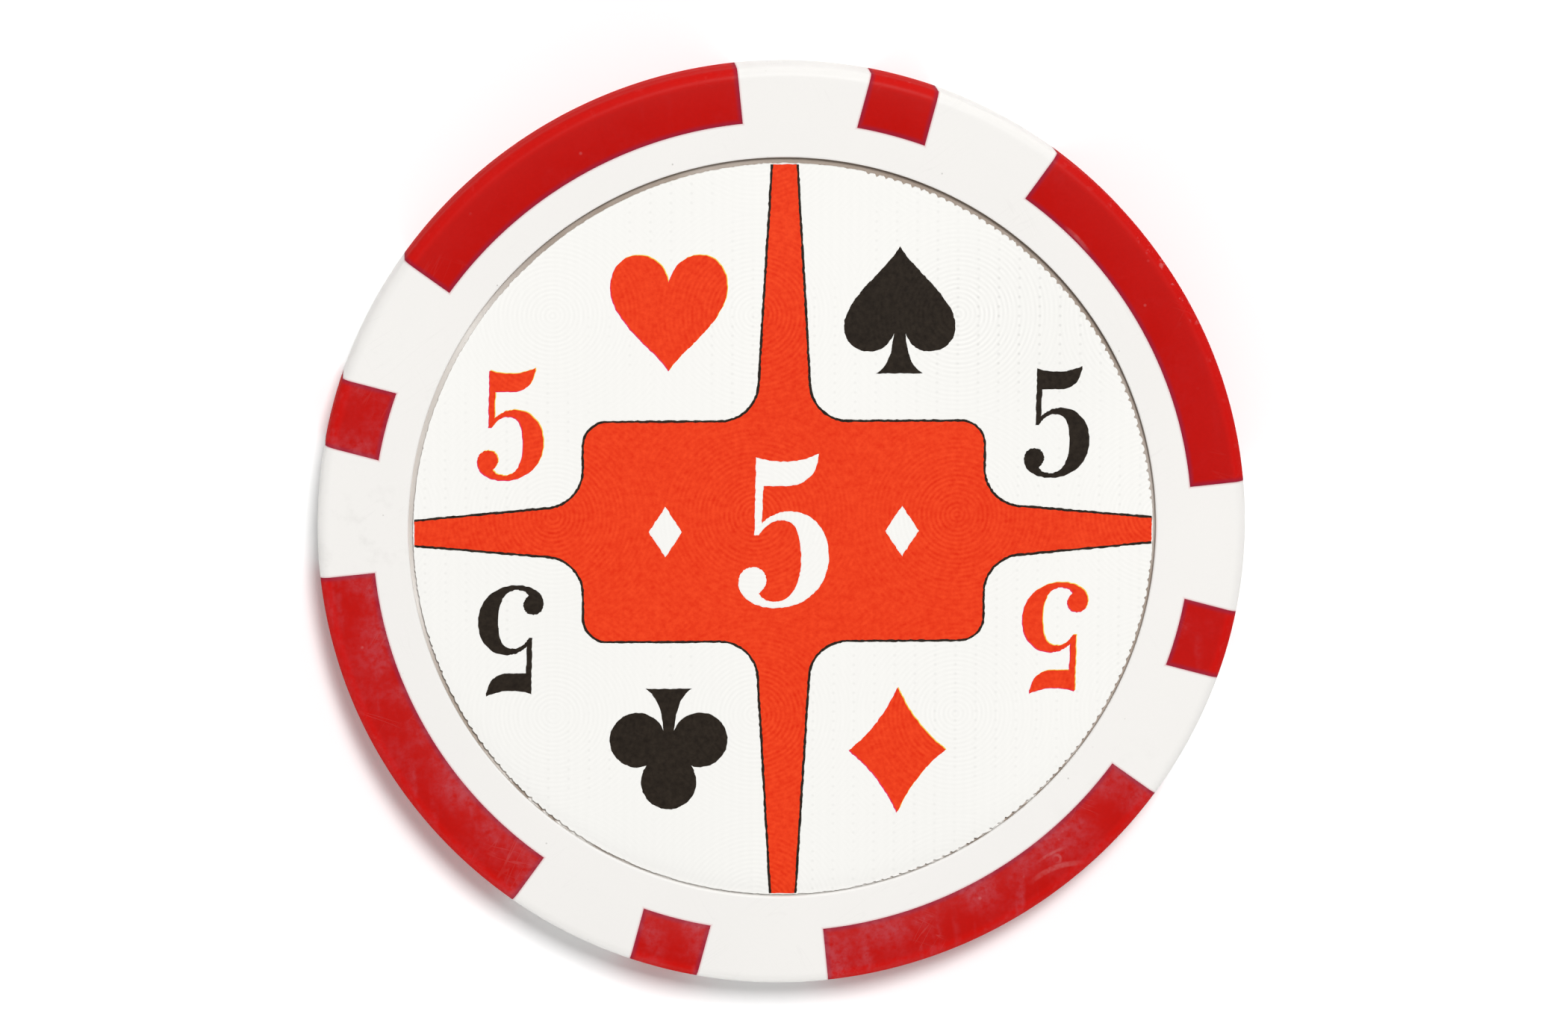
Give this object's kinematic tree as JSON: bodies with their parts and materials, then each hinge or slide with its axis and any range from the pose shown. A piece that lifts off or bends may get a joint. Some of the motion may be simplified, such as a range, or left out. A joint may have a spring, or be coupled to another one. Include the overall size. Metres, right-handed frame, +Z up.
{
  "type": "poker chip",
  "caption": "Weighted round casino-style chip: white moulded disc with red edge spots locked into its rim, a steel core and a printed label recessed in each face.",
  "frame": {"origin": "centre of the chip, on the plane of the lower rim face that it lies on", "axes": "+Z up along the chip's axis, towards the front label; +Y towards the top of the front label's print; +X to the right of that print"},
  "size_m": [0.04, 0.04, 0.0033],
  "materials": {
    "white_plastic": "satin moulded ABS, lightly scuffed and soiled from use",
    "red_plastic": "satin moulded ABS, with milky scuffs along its edges",
    "steel_core": "blanked and tumbled mild steel",
    "label_film": "printed film with a fine ring and line texture",
    "label_adhesive": "clear acrylic adhesive"
  },
  "bodies": {
    "root": {"body_moulding": "white_plastic", "core_weight": "steel_core", "long_edge_insert_1": "red_plastic", "long_edge_insert_2": "red_plastic", "long_edge_insert_3": "red_plastic", "long_edge_insert_4": "red_plastic", "short_edge_insert_1": "red_plastic", "short_edge_insert_2": "red_plastic", "short_edge_insert_3": "red_plastic", "short_edge_insert_4": "red_plastic", "front_label": "label_film", "front_label_adhesive": "label_adhesive", "back_label": "label_film", "back_label_adhesive": "label_adhesive"}
  },
  "joints": []
}
